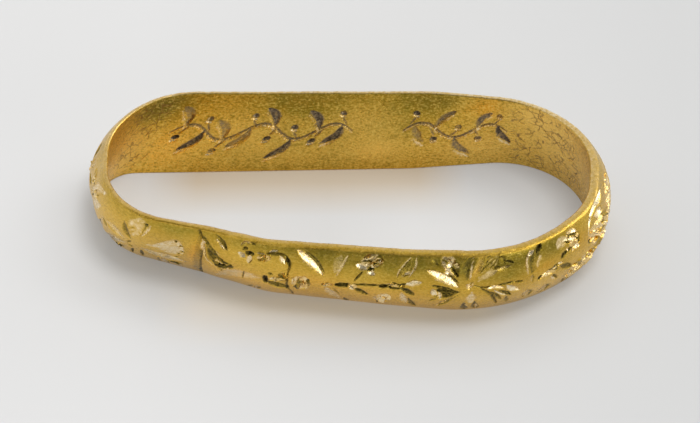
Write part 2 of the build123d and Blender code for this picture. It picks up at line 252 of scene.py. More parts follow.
    ([(16.76, 1.8), (17.2, 0.7)], 0.64, 0.07, 1.05, 0.6, 0.4, 1.2, 3),
    # Right end
    ([(19.46, 3.16), (19.58, 3.76), (19.92, 4.2), (20.5, 4.36), (21.44, 4.3)], 0.24, 0.12, 0.6, 1.2, 0, 1.7),
    ([(20.4, 4.26), (21.36, 4.26)], 0.34, 0.14, 0.9, 1.2, 0, 1.2),
    ([(20.06, 4.06), (20.92, 3.62)], 0.56, 0.17, 0.85, 1.2, 0.3, 1.4),
    ([(19.38, 3.12), (19.74, 2.76)], 0.3, 0.11, 1.05, -0.75),
    ([(20.04, 2.92), (20.5, 2.4)], 0.34, 0.12, 0.95, 1, 0.5),
    ([(20.52, 3.2), (21.9, 2.3)], 0.58, 0.11, 0.95, 0.6, 0.3, 1.2, 4),
    ([(19.16, 2.26), (19.7, 1.7)], 0.32, 0.11, 1.05, -0.6),
    ([(19.68, 1.52), (20.46, 1.7)], 0.6, 0.09, 1.05, 0.5, 0.3, 1.4, 4),
    ([(22.18, 3.6), (23.7, 3.1)], 0.64, 0.11, 1.05, 0.5, 0.4, 1.3, 4),
]
# The crease in the front wall, with the same columns; its dark tone is painted shade in the fold
CREASE = (
    [(-0.38, 4.6), (-0.14, 4.08), (0, 3.46), (0.04, 2.6), (0.08, 1.74), (0.14, 0.98), (0.12, -0.02)],
    0.22, 0.11, 0.12, -0.55, 0.3,
)

# Short straight nicks of the outer face: bright flecks of painted highlight, and dark pits with dirt and
# painted shade.
# along, up, length, turn, width, depth, tone
OUTER_NICKS = [
    # Flower at the left end
    (-5.62, 4.12, 0.24, 40, 0.2, 0.08, 1),
    (-3.06, 4.1, 0.28, -75, 0.15, 0.09, -0.9),
    (-3.4, 3.8, 0.4, -70, 0.14, 0.05, 0.9),
    (-3.5, 2.36, 0.3, 70, 0.2, 0.09, -0.6),
    (-3.4, 1.96, 0.3, -50, 0.2, 0.09, -0.6),
    (-1.34, 3.38, 0.22, -50, 0.15, 0.1, -0.9),
    (-1, 3.08, 0.24, 20, 0.13, 0.1, -0.8),
    (-0.86, 2.62, 0.26, -10, 0.14, 0.1, -0.9),
    (-0.96, 2.38, 0.24, 15, 0.13, 0.1, -0.9),
    (-0.86, 2.44, 0.26, 60, 0.14, 0.09, 1),
    (-1.1, 1.98, 0.3, 20, 0.16, 0.09, -0.6),
    # Crease
    (0.02, 3.78, 0.22, -60, 0.16, 0.08, 1),
    (0.1, 0.7, 0.6, 88, 0.2, 0.1, -0.9),
    # Sprig, stem, bud and open leaf
    (4.42, 1.8, 0.44, 80, 0.22, 0.11, -0.9),
    (7.44, 2.34, 0.26, -30, 0.18, 0.1, 1),
    (8.28, 3.5, 0.3, -20, 0.22, 0.12, 1.2),
    (8.2, 3.74, 0.26, 30, 0.14, 0.1, -1),
    (9.82, 3.66, 0.3, 30, 0.2, 0.06, 0.8),
    (2.62, 4.48, 0.4, -20, 0.12, 0.07, -0.6),
    (9.32, 3.04, 0.3, -10, 0.14, 0.09, -0.7),
    (9.74, 3.02, 0.28, 10, 0.15, 0.09, -0.8),
    # Large flower and tall lens
    (13.06, 1.28, 0.3, 70, 0.16, 0.12, 0.9),
    (14.5, 4.1, 0.5, -20, 0.18, 0.09, -0.7),
    (15.88, 3.84, 0.4, 85, 0.18, 0.11, -0.5),
    (15.24, 2.8, 0.3, -20, 0.18, 0.1, -0.9),
    # Right bud
    (18.66, 4.1, 0.66, -16, 0.18, 0.12, -1),
    (18.14, 3.88, 0.46, -34, 0.15, 0.1, -0.8),
    (18.88, 3.66, 0.5, 70, 0.14, 0.1, -0.7),
    (18.14, 3.44, 0.34, 60, 0.16, 0.1, -0.9),
    (18.74, 4.28, 0.38, -35, 0.28, 0.13, 1.2),
    (18.4, 3.94, 0.34, -20, 0.2, 0.13, 1.2),
    (18.64, 3.84, 0.3, -30, 0.18, 0.13, 1.2),
    (18.66, 3.32, 0.38, -10, 0.34, 0.15, 1.2),
    (18.37, 3.32, 0.28, 80, 0.17, 0.13, 1.2),
    (18.01, 3.52, 0.26, -60, 0.2, 0.13, 1.2),
    # Bead line
    (16.34, 2.54, 0.34, 60, 0.24, 0.12, -0.9),
    (16.54, 2.5, 0.22, -60, 0.17, 0.13, 1.2),
    (16.66, 2.64, 0.2, -70, 0.15, 0.13, 1.2),
    (16.82, 2.7, 0.22, -60, 0.15, 0.13, 1.1),
    (17.28, 2.9, 0.34, -30, 0.18, 0.12, -0.9),
    (17.48, 2.92, 0.36, -20, 0.2, 0.12, 1),
    # Upper petals of the large flower
    (11.36, 4.08, 0.32, -40, 0.15, 0.13, 1.2),
    (11.38, 3.74, 0.34, -50, 0.2, 0.14, 1.2),
    (11.56, 3.88, 0.46, -50, 0.16, 0.12, -0.8),
    (11.8, 3.68, 0.36, -40, 0.16, 0.12, -0.8),
    (12.72, 2.96, 0.28, -50, 0.15, 0.12, 1.1),
    # Right end
    (20.26, 2.74, 0.46, -40, 0.22, 0.12, 1.2),
    (19.54, 2.98, 0.34, -40, 0.18, 0.12, -0.9),
    (19.38, 2.06, 0.3, -50, 0.18, 0.12, -0.9),
]

# Ovals of small chiselled facets with tones at random, pale ones painted highlight and dark ones painted
# shade; turn is the way of their long side.
# along, up, half length, half width, turn, facets, darkest, palest
OUTER_CHIPS = [
    # Flower at the left end
    (-6.4, 3.2, 0.5, 0.24, 38, 10, -0.6, 0.9),
    (-4.3, 1.1, 0.5, 0.18, 30, 8, -0.9, -0.3),
    (-1.2, 1.06, 0.5, 0.12, 4, 8, -0.9, -0.3),
    # Crescent and sprig right of the crease
    (3.38, 3.8, 0.42, 0.2, 8, 10, -0.7, 0.4),
    (4, 2.48, 0.44, 0.18, 10, 10, -0.5, 0.8),
    (1.26, 2.6, 0.54, 0.34, -10, 14, -1, 0),
    (4.28, 2.78, 0.26, 0.22, -60, 8, -0.9, -0.2),
    (5.08, 2.34, 0.62, 0.48, 80, 22, -0.9, 0.9),
    # Bud and stem in the middle
    (8.24, 4.14, 0.46, 0.34, 20, 30, -1, 1),
    (8.2, 3.66, 0.26, 0.16, 80, 8, -0.9, 1.1),
    (9.4, 2.88, 0.44, 0.17, -4, 14, -1, 0.6),
    (7.5, 2.52, 0.22, 0.18, 0, 6, -0.7, 1),
    (6.34, 2.5, 0.26, 0.14, 10, 8, -0.8, 0.6),
    (9, 1.7, 0.5, 0.36, 70, 9, 0.5, 1),
    # Large flower
    (11.4, 4.1, 0.66, 0.26, -48, 22, -0.9, 0.9),
    (12.76, 3, 0.26, 0.16, 80, 6, -0.4, 0.9),
    # Bead line and right bud
    (16.86, 2.66, 0.66, 0.22, 10, 16, -0.8, 1),
    (18.56, 3.86, 0.6, 0.4, 80, 24, -0.9, 0.7),
    (18.9, 1.2, 0.8, 0.45, -30, 10, -0.2, 0.8),
    # Right end
    (19.7, 1.65, 1.5, 0.62, -12, 32, -0.4, 0.75),
    (20.9, 2.66, 1.6, 0.8, -28, 46, -0.4, 0.9),
    (22.7, 3.1, 1, 0.9, 0, 26, -0.3, 0.9),
]

# Cuts and facets of the sprig that repeats round the far side, from each sprig's start,
# with the same columns. Every second sprig is upside down.
FAR_SPRIG = [
    # Stem and its two leaves
    ([(0.35, 1.85), (1.3, 2.2), (2.4, 2.45)], 0.16, 0.09, 0.3, -0.7),
    ([(1.2, 2.35), (1.5, 3.2), (2.25, 3.95)], 0.5, 0.16, 0.7, 0.8, 0.5, 1.2),
    ([(1.2, 2.05), (1.45, 1.35), (2.15, 0.65)], 0.48, 0.14, 0.7, -0.6, -0.5, 1.2, 2),
    # Petals
    ([(3.75, 2.45), (2.65, 2.4)], 0.48, 0.18, 0.7, 0.9, 0.5, 1.4),
    ([(3.85, 2.7), (3.2, 3.65)], 0.54, 0.1, 0.6, 0.3, 0.1, 1.6, 4),
    ([(4.15, 2.8), (4.25, 4.1)], 0.5, 0.14, 0.6, -0.6, 0.5, 1.6),
    ([(4.4, 2.75), (5.1, 3.7)], 0.56, 0.1, 0.6, 0.5, -0.1, 1.6, 4),
    ([(4.55, 2.5), (5.7, 2.65)], 0.48, 0.18, 0.7, 0.9, -0.5, 1.4),
    ([(4.35, 2.2), (5.05, 1)], 0.5, 0.12, 0.7, 0.4, 0.4, 1.5, 3),
    ([(4.1, 2.15), (4.1, 0.8)], 0.38, 0.12, 0.7, -0.8, 0, 1.4),
    ([(3.9, 2.2), (3.35, 1)], 0.5, 0.12, 0.7, 0.6, -0.4, 1.5, 3),
    # Leaves beside the flower
    ([(5.75, 3.9), (6.35, 3.2)], 0.3, 0.14, 0.7, 0.8, 0.4),
    ([(5.8, 1.55), (6.4, 0.9)], 0.28, 0.11, 0.7, -0.8, 0.2),
]
FAR_CHIPS = [
    (4.15, 2.46, 0.26, 0.22, 0, 8, -0.6, 1),
    (6.05, 3.55, 0.46, 0.26, -40, 18, -0.8, 1),
    (1.15, 2.16, 0.24, 0.16, 20, 7, -0.9, 0.8),
]
FAR_SPRIG_START = 22.2
FAR_SPRIG_COUNT = 5
FAR_SPRIG_PITCH = 6.6

# Soft dents and swells of the outer face, and the many faint ones of both faces
# along, up, half length, half height, rise
OUTER_SWELLS = [
    (0.8, 1.36, 0.55, 1.6, 0.05),
    (-0.04, 1.72, 0.22, 2.4, -0.06),
    (-0.9, 2.28, 0.6, 1.8, -0.02),
    (7.36, 3.2, 1.6, 1.1, 0.02),
    (12.68, 3.02, 0.45, 0.45, -0.05),
]
# count, rise, smallest, largest
OUTER_WANDER = [(150, 0.01, 0.35, 1.3), (500, 0.004, 0.14, 0.32)]
INNER_WANDER = [(150, 0.008, 0.35, 1.2), (400, 0.003, 0.14, 0.3)]
WANDER_SQUASH = (0.6, 1)

# Soft clouds of colour. Warmth runs from -1, olive tint with painted shade, to 1, orange, and
# light from -1, painted shade, to 1, painted light.
# along, up, half length, half height, warmth, light
OUTER_CLOUDS = [
    # Olive painted shade below the upper rim, and olive at the left foot
    (-1.6, 4, 1.4, 0.6, -0.5, 0),
    (3, 4.45, 2.4, 0.4, -0.4, 0),
    (6.6, 4.1, 1.6, 0.8, -0.7, -0.2),
    (9.4, 4.1, 1.6, 0.8, -0.9, -0.1),
    (12, 4.2, 0.6, 0.7, -1, -0.2),
    (14.8, 4.2, 1.1, 0.4, -1, -0.8),
    (14.4, 3.45, 1.1, 0.3, -0.7, -0.1),
    (17, 4.2, 0.8, 0.5, -1, -0.4),
    (-5.8, 0.6, 1.6, 0.5, -0.4, 0),
    (-2, 4.4, 2.4, 0.4, -0.5, 0),
    (9, 4.4, 8, 0.45, -0.5, -0.2),
    # Painted light above the lower rim, and at the left end
    (5, 1.3, 12, 0.95, 0.1, 0.42),
    (-3.5, 2.4, 2.6, 1.6, 0, 0.4),
    (-6.5, 2.5, 2, 2, 0, 0.2),
    (2, 2.1, 1.2, 0.5, 0.3, 0.5),
    # Warm spots; the one beside the crease is painted shade of the fold
    (-0.3, 2.6, 0.26, 1.4, 0.9, 0),
    (5.8, 2.7, 1.2, 0.5, 0.5, 0.2),
    (8.6, 2.2, 2, 0.4, 0.4, 0.1),
    (12.75, 4, 0.2, 0.6, 1, 0.2),
    (16.6, 3.3, 0.8, 0.4, 0.6, 0),
    (19, 3.6, 0.6, 0.8, 0.5, -0.1),
    # Painted shade to the right, and more painted light low down
    (15.2, 3.8, 3.6, 0.9, -0.1, -0.34),
    (0.4, 1.5, 2.8, 0.8, 0.1, 0.35),
    (16.4, 1.7, 1.2, 0.7, 0, 0.5),
    # Far side: olive painted shade below the upper rim, and painted light low down
    (38, 4.4, 16, 0.5, -0.6, -0.2),
    (38, 1.3, 16, 0.9, 0.1, 0.3),
]
# Clouds of the inner face: tint, with painted light and painted shade of its reflections
INNER_CLOUDS = [
    (27.6, 2.8, 3.2, 2.6, 0.6, 0.9),
    (32.4, 4.1, 1.5, 0.8, 1, -0.1),
    (32.6, 1.2, 2.2, 1.1, 0.7, 0.5),
    (35.2, 4.1, 1.2, 0.8, -0.8, -0.4),
    (36.6, 3, 1.4, 1.8, -0.7, 0.1),
    (38.4, 2.6, 1.9, 1.2, -0.5, 0.45),
    (41.8, 4.1, 2, 0.7, -1, -0.4),
    (41.2, 2.2, 2.8, 1.8, -0.9, 0.1),
    (43.9, 2.3, 2.4, 1.2, -0.4, 0.55),
    (48.9, 4, 1.5, 0.9, -1, -1),
    (39, 4.5, 8, 0.6, -0.5, -0.1),
    (47.2, 1.2, 1.8, 1.1, 1, 0.35),
    (50.2, 1.5, 1.6, 1.8, 0.6, 1),
    (28.2, 3.9, 2.2, 0.7, 0.1, 0.7),
    (37, 1.2, 1.2, 0.7, 0, 0.5),
    (40.4, 0.8, 5, 0.9, -1, 0.35),
]

# Cracks in the inner face where the band was bent hardest: the larger ones are cuts of a
# few parts, and the finest ones are in the finish, by zones.
# from, to, count
CRACKLE = [(25.6, 30.6, 60), (47.6, 50.4, 20)]
# Ways in degrees and how far cracks stray from them, then the bend between two parts in
# radians and the ranges of height, length of a part, width, depth and tone
CRACK_WAYS = [70, 100, -20, -35]
CRACK_STRAY = 14
CRACK_PARTS = 3
CRACK_BEND = 0.35
CRACK_UP = (0.5, 4)
CRACK_PART = (0.1, 0.22)
CRACK_WIDTH = (0.05, 0.08)
CRACK_DEPTH = (0.02, 0.04)
CRACK_TONE = (-0.6, -0.2)
CRACK_FULLNESS = 0.5
# middle, half length, strength
CRACK_ZONES = [(28.2, 2.6, 0.8), (49.4, 1.6, 0.7)]

# Leaf sprays on the inner face of the back wall: a wavy stem with leaves and berries on
# alternate sides. Places of a leaf and a berry are along and up from the stem.
# from, to, turns, leaves
SPRAYS = [(36.3, 31, 1.5, 5), (38.7, 47.4, 2.5, 8)]
SPRAY_UP = 2.35
SPRAY_WAVE = 0.45
STEM_STEPS = 36
LEAF_BEND = (0.16, 0.62)
LEAF_TIP = (0.72, 1.12)
BERRY = (0.1, 0.62)
BERRY_HALF = 0.17
# width, depth, fullness, tone; the tones of leaves and berries are drawn from ranges
STEM_STROKE = (0.19, 0.08, 0.2, -0.55)
STALK_STROKE = (0.13, 0.06, 0.4, -0.5)
LEAF_STROKE = (0.5, 0.12, 0.7)
BERRY_STROKE = (0.34, 0.12, 0.5)
LEAF_TONE = (-0.95, -0.35)
BERRY_TONE = (-1, -0.4)
LEAF_KEEL = 0.3
BERRY_KEEL = 0.2
SPRAY_BELLY = 1.1
# The painted highlight on the edge below each stroke: its shift, width and depth as shares of the stroke's
GLINT_SHIFT = 0.48
GLINT_WIDTH = 0.55
GLINT_DEPTH = 0.6
GLINT_TONE = 0.9

# Cuts: the burr beside them, how steep their edges are, how far flutes cut in with the
# change of tone, which puts painted shade in their grooves, the form of nicks, and the keel from which one
# side of a cut gets painted shade
LIP_RISE = 0.012
LIP_WIDTH = 0.045
LIP_FROM = 0.05
CUT_MARGIN = 0.15
CUT_EDGE = 3.5
DEPTH_POWER = 0.6
LEAST_HALF = 1e-6
SPINE_STEPS = 6
FLUTE_EDGE = 3
FLUTE_SHARE = 0.55
FLUTE_TONES = (0.15, -0.55)
NICK_FULLNESS = 0.6
NICK_KEEL = 0.3
STEEP_KEEL = 0.4
STEEP_TONE = -0.6
# Cuts and facets paler than this are polished, and such facets get at least this much painted highlight.
POLISHED_TONE = -0.3
BRIGHT_TONE = 0.6
# Facets: depth with its least and greatest share, lean, length over width, contrast of
# their tones, steepness of the oval's edge, and how far they may rise and drop
CHIP_DEPTH = 0.08
CHIP_SHARES = (-0.6, 1)
CHIP_LEAN = 0.4
CHIP_STRETCH = 2.2
CHIP_CONTRAST = 0.6
CHIP_EDGE = 5
CHIP_RISE = 0.08
CHIP_DROP = 0.16


def lerp(low, high, share):
    return low + (high - low) * share


def unit(vectors):
    return vectors / np.linalg.norm(vectors, axis=-1, keepdims=True)


def cross(first, second):
    """Cross product of vectors in the plane."""
    return first[..., 0] * second[..., 1] - first[..., 1] * second[..., 0]


# Outlines

def side_ways(points):
    """Directions of the sides before and after each corner."""
    sides = unit(np.roll(points, -1, axis=1) - points)
    return np.roll(sides, 1, axis=1), sides


def corner_outline(shares, outer):
    """Corners, side directions, turns and radii of the outlines at shares of the height."""
    table = np.array(CORNERS)
    share = np.asarray(shares, float)[:, None]
    points = lerp(table[:, 3:5], table[:, 0:2], share[..., None])
    radii = lerp(table[:, 5], table[:, 2], share)
    before, after = side_ways(points)
    if outer:
        stand_off = table[:, 6] + table[:, 7] * 4 * share * (1 - share)
        outward = unit(np.stack([before[..., 1] + after[..., 1], -before[..., 0] - after[..., 0]], -1))
        points = points + outward * (stand_off / cross(outward, before))[..., None]
        radii = radii + np.sign(cross(before, after)) * stand_off
        before, after = side_ways(points)
    turns = np.arctan2(cross(before, after), (before * after).sum(-1))
    return points, before, after, turns, radii


def arc_ends(points, before, after, turns, radii):
    """Where the rounding of each corner begins and ends."""
    reach = (radii * np.abs(np.tan(turns / 2)))[..., None]
    return points - before * reach, points + after * reach


def column_places():
    """Edge number and share of it for each column, and the band's whole length."""
    outline = [value[0] for value in corner_outline([0.5], True)]
    starts, ends = arc_ends(*outline)
    turns, radii = outline[3:]
    lengths = []
    for number in range(len(CORNERS)):
        lengths.append(abs(turns[number]) * radii[number])
        lengths.append(np.linalg.norm(starts[(number + 1) % len(CORNERS)] - ends[number]))
    bounds = np.concatenate([[0], np.cumsum(lengths)])
    whole = bounds[-1]
    places = (np.arange(COLUMNS) * whole / COLUMNS + lengths[0] / 2) % whole
    edges = np.clip(np.searchsorted(bounds, places, side="right") - 1, 0, len(lengths) - 1)
    return edges, (places - bounds[edges]) / np.array(lengths)[edges], whole


def outline_lattice(shares, outer, edges, edge_shares):
    """Points [column, share, xy] of the outlines."""
    points, before, after, turns, radii = corner_outline(shares, outer)
    starts, ends = arc_ends(points, before, after, turns, radii)
    left = np.stack([-before[..., 1], before[..., 0]], -1) * np.sign(turns)[..., None]
    corner = edges // 2
    centre = (starts + left * radii[..., None])[:, corner]
    spoke = (-left * radii[..., None])[:, corner]
    angle = turns[:, corner] * edge_shares
    swung = np.stack([
        spoke[..., 0] * np.cos(angle) - spoke[..., 1] * np.sin(angle),
        spoke[..., 0] * np.sin(angle) + spoke[..., 1] * np.cos(angle),
    ], -1)
    straight = lerp(ends[:, corner], np.roll(starts, -1, axis=1)[:, corner], edge_shares[None, :, None])
    return np.where((edges % 2 == 0)[None, :, None], centre + swung, straight).transpose(1, 0, 2)


# Rows round the section

def section_rows():
    """Face, height and place on the rim of each row, from the lower outer edge upward."""
    low = EDGE_RADIUS
    high = BAND_WIDTH - EDGE_RADIUS
    rows = [("outer", lerp(low, high, step / FACE_ROWS), 0) for step in range(FACE_ROWS)]
    rows += rim_rows("outer", "inner", high, BAND_WIDTH)
    rows += [("inner", lerp(high, low, step / FACE_ROWS), 0) for step in range(FACE_ROWS)]
    rows += rim_rows("inner", "outer", low, 0)
    return rows


def rim_rows(from_face, to_face, shoulder, top):
    """Rows over one rim: a rounded edge, the flat and the other rounded edge."""
    way = math.copysign(EDGE_RADIUS, top - shoulder)
    middle = shoulder + way * math.sin(math.pi / 4)
    flats = RIM_ROWS - 3
    rows = [(from_face, shoulder, 0), (from_face, middle, 0)]
    rows += [(from_face + "_flat", top, step / (flats - 1)) for step in range(flats)]
    rows.append((to_face, middle, 0))
    return rows


def rounding(heights, radius):
    """How far an edge of the given radius falls back at each height."""
    over = np.maximum(heights - (BAND_WIDTH - radius), radius - heights) / radius
    over = np.clip(over, 0, 1)
    return radius * (1 - np.sqrt(1 - over ** 2))


def band_lattice(edges, edge_shares, rows):
    """Points [column, row, xyz] of the band without its engraving, and each row's height."""
    heights = np.array([row[1] for row in rows])
    outer = outline_lattice(heights / BAND_WIDTH, True, edges, edge_shares)
    inner = outline_lattice(heights / BAND_WIDTH, False, edges, edge_shares)
    thickness = np.linalg.norm(outer - inner, axis=-1)
    rim = thickness[:, FACE_ROWS + RIM_ROWS // 2]
    across = np.zeros(thickness.shape)
    for number, (face, height, share) in enumerate(rows):
        wall = thickness[:, number]
        roll = rim * ROLL_SHARE if height > BAND_WIDTH / 2 else np.full(len(wall), EDGE_RADIUS)
        if face == "outer":
            across[:, number] = rounding(height, roll) / wall
        elif face == "inner":
            across[:, number] = 1 - rounding(height, EDGE_RADIUS) / wall
        else:
            place = share if face == "outer_flat" else 1 - share
            across[:, number] = lerp(roll / wall, 1 - EDGE_RADIUS / wall, place)
    points = np.zeros(thickness.shape + (3,))
    points[..., :2] = lerp(outer, inner, across[..., None])
    points[..., 2] = heights[None, :]
    return points, heights


def lattice_normals(points):
    """Outward normals of the lattice by central differences."""
    along = np.roll(points, -1, axis=0) - np.roll(points, 1, axis=0)
    up = np.roll(points, -1, axis=1) - np.roll(points, 1, axis=1)
    return unit(np.cross(along, up))


# Charts

class Chart:
    """Heights and finish of one face of the band over its lattice."""

    def __init__(self, along, up, whole):
        self.along = along
        self.up = up
        self.whole = whole
        for name in ("height", "swell") + FINISH:
            setattr(self, name, np.zeros((len(along), len(up))))

    def offset(self, along):
        """Distance of each column from a place, the short way round."""
        return (self.along - along + self.whole / 2) % self.whole - self.whole / 2

    def window(self, along, up, reach_along, reach_up):
        """Index of the lattice near a place, with its along and up values."""
        offset = self.offset(along)
        columns = np.nonzero(np.abs(offset) < reach_along)[0]
        rows = np.nonzero(np.abs(self.up - up) < reach_up)[0]
        grid = np.meshgrid(along + offset[columns], self.up[rows], indexing="ij")
        return np.ix_(columns, rows), grid[0], grid[1]

    def bell(self, along, up, half_length, half_height):
        """Index of the lattice near a place, with a soft bell over it."""
        index, a, u = self.window(along, up, half_length * 3, half_height * 3)
        return index, np.exp(-((a - along) / half_length) ** 2 - ((u - up) / half_height) ** 2)


def smooth_spine(spine):
    """Points along a smooth curve through a spine of three points or more."""
    points = np.array(spine, float)
    if len(points) < 3:
        return points
    padded = np.vstack([2 * points[0] - points[1], points, 2 * points[-1] - points[-2]])
    curve = []
    for a, b, c, d in zip(padded, padded[1:], padded[2:], padded[3:]):
        for step in range(SPINE_STEPS):
            t = step / SPINE_STEPS
            curve.append(0.5 * (2 * b + (c - a) * t + (2 * a - 5 * b + 4 * c - d) * t ** 2
                                + (3 * b - a - 3 * c + d) * t ** 3))
    curve.append(points[-1])
    return np.array(curve)


def spine_field(spine, along, up):
    """Share along the spine and signed distance from it, positive to its left."""
    starts, ends = spine[:-1], spine[1:]
    ways = ends - starts
    lengths = np.linalg.norm(ways, axis=1)
    before = np.concatenate([[0], np.cumsum(lengths)])
    best = np.full(along.shape, np.inf)
    share = np.zeros(along.shape)
    signed = np.zeros(along.shape)
    for start, way, length, begun in zip(starts, ways, lengths, before):
        x = along - start[0]
        y = up - start[1]
        t = np.clip((x * way[0] + y * way[1]) / length ** 2, 0, 1)
        distance = np.hypot(x - t * way[0], y - t * way[1])
        side = np.where(way[0] * y - way[1] * x >= 0, 1.0, -1.0)
        nearer = distance < best
        best = np.where(nearer, distance, best)
        share = np.where(nearer, (begun + t * length) / before[-1], share)
        signed = np.where(nearer, side * distance, signed)
    return share, signed


def triangle_wave(value):
    """Wave between 0 and 1 with straight flanks."""
    return 1 - np.abs((value % 1.0) * 2 - 1)


def cut(chart, spine, width, depth, fullness, tone, keel=0, belly=1, flutes=0, lip=True):
    """One engraved stroke or leaf: two facets that meet in a keel line."""
    curve = smooth_spine(spine)
    middle = (curve.min(axis=0) + curve.max(axis=0)) / 2
    reach = (curve.max(axis=0) - curve.min(axis=0)) / 2 + width + CUT_MARGIN
    index, along, up = chart.window(*middle, *reach)
    share, signed = spine_field(curve, along, up)
    profile = np.sin(np.pi * np.clip(share, 0, 1) ** belly) ** fullness
    half = np.maximum(width / 2 * profile, LEAST_HALF)
    keel_line = keel * half
    left = (half - signed) / (half - keel_line)
    right = (half + signed) / (half + keel_line)
    inside = np.clip(np.minimum(left, right), 0, 1)
    deep = depth * profile ** DEPTH_POWER
    colour = np.full(inside.shape, tone)
    if flutes:
        wave = triangle_wave((signed / half + 1) / 2 * flutes)
        deep = deep * np.clip(inside * FLUTE_EDGE, 0, 1) * lerp(1 - FLUTE_SHARE, 1, wave)
        # Painted shade in the grooves of the flutes, lighter on their ridges
        colour = np.clip(tone + lerp(*FLUTE_TONES, wave), -1, 1)
    else:
        deep = deep * inside
    # Painted shade on the steep side beyond the keel
    if abs(keel) >= STEEP_KEEL:
        colour = np.where((signed - keel_line) * keel > 0, STEEP_TONE, colour)
    chart.height[index] = np.minimum(chart.height[index], -deep)
    if lip:
        raise_lip(chart, index, np.abs(signed) - half, (profile > LIP_FROM) & (deep <= 0))
    lay_finish(chart, index, colour, np.clip(inside * CUT_EDGE, 0, 1))


def lay_finish(chart, index, tone, cover):
    """Tone, with its painted highlight and painted shade, and polish of a cut or of facets."""
    chart.tone[index] = lerp(chart.tone[index], tone, cover)
    chart.polish[index] = np.maximum(chart.polish[index], cover * (tone > POLISHED_TONE))


def raise_lip(chart, index, beyond, beside):
    """A low burr of gold pushed up beside a cut."""
    rise = LIP_RISE * np.exp(-(beyond / LIP_WIDTH) ** 2) * beside
    plain = chart.height[index] >= 0
    chart.height[index] = np.where(plain, np.maximum(chart.height[index], rise), chart.height[index])


def nick(chart, along, up, length, turn, width, depth, tone):
    """A short straight cut round its middle."""
    way = math.radians(turn)
    reach = (math.cos(way) * length / 2, math.sin(way) * length / 2)
    spine = [(along - reach[0], up - reach[1]), (along + reach[0], up + reach[1])]
    cut(chart, spine, width, depth, NICK_FULLNESS, tone, NICK_KEEL if tone > 0 else 0)


def chips(chart, draws, along, up, half_length, half_width, turn, count, darkest, palest):
    """An oval of small chiselled facets, each with its own lean and tone."""
    reach = max(half_length, half_width)
    index, a, u = chart.window(along, up, reach, reach)
    cos = math.cos(math.radians(turn))
    sin = math.sin(math.radians(turn))
    x = (a - along) * cos + (u - up) * sin
    y = (u - up) * cos - (a - along) * sin
    best = np.full(x.shape, np.inf)
    drop = np.zeros(x.shape)
    tone = np.zeros(x.shape)
    for _ in range(count):
        radius = math.sqrt(draws.random())
        angle = draws.random() * 2 * math.pi
        dx = x - half_length * radius * math.cos(angle)
        dy = y - half_width * radius * math.sin(angle)
        lean = draws.normal(0, CHIP_LEAN, 2).clip(-CHIP_LEAN, CHIP_LEAN)
        facet = draws.uniform(*CHIP_SHARES) * CHIP_DEPTH + lean[0] * dx + lean[1] * dy
        distance = np.hypot(dx / CHIP_STRETCH, dy)
        nearer = distance < best
        best = np.where(nearer, distance, best)
        drop = np.where(nearer, facet, drop)
        tone = np.where(nearer, lerp(darkest, palest, draws.beta(CHIP_CONTRAST, CHIP_CONTRAST)), tone)
    # Polished facets get at least a bright painted highlight
    tone = np.where(tone > POLISHED_TONE, np.maximum(tone, BRIGHT_TONE), tone)
    cover = np.clip((1 - (x / half_length) ** 2 - (y / half_width) ** 2) * CHIP_EDGE, 0, 1)
    chart.height[index] = lerp(chart.height[index], -np.clip(drop, -CHIP_RISE, CHIP_DROP), cover)
    lay_finish(chart, index, tone, cover)


def swell(chart, along, up, half_length, half_height, rise):
    """A soft dent or swell of the whole wall."""
    index, bell = chart.bell(along, up, half_length, half_height)
    chart.swell[index] += rise * bell


def cloud(chart, along, up, half_length, half_height, warmth, light):
    """A soft cloud of colour: tint, with painted light and painted shade."""
    index, bell = chart.bell(along, up, half_length, half_height)
    chart.warmth[index] = np.clip(chart.warmth[index] + warmth * bell, -1, 1)
    chart.light[index] = np.clip(chart.light[index] + light * bell, -1, 1)


def wander(chart, draws, count, rise, smallest, largest):
    """Hand-worked unevenness: many faint swells."""
    for _ in range(count):
        size = draws.uniform(smallest, largest)
        swell(chart, draws.uniform(0, chart.whole), draws.uniform(0, BAND_WIDTH),
              size, size * draws.uniform(*WANDER_SQUASH), draws.normal(0, rise))


def engrave_outer(chart, draws):
    """All the ornament of the outer face."""
    for values in OUTER_SWELLS:
        swell(chart, *values)
    for values in OUTER_CLOUDS:
        cloud(chart, *values)
    for values in OUTER_WANDER:
        wander(chart, draws, *values)
    cut(chart, *CREASE, lip=False)
    for values in OUTER_CUTS:
        cut(chart, *values)
    for values in OUTER_CHIPS:
        chips(chart, draws, *values)
    for values in OUTER_NICKS:
        nick(chart, *values)
    for number in range(FAR_SPRIG_COUNT):
        start = FAR_SPRIG_START + number * FAR_SPRIG_PITCH
        foot, way = (0, 1) if number % 2 == 0 else (BAND_WIDTH, -1)
        for spine, *values in FAR_SPRIG:
            cut(chart, [(start + along, foot + way * up) for along, up in spine], *values)
        for along, up, *values in FAR_CHIPS:
            chips(chart, draws, start + along, foot + way * up, *values)


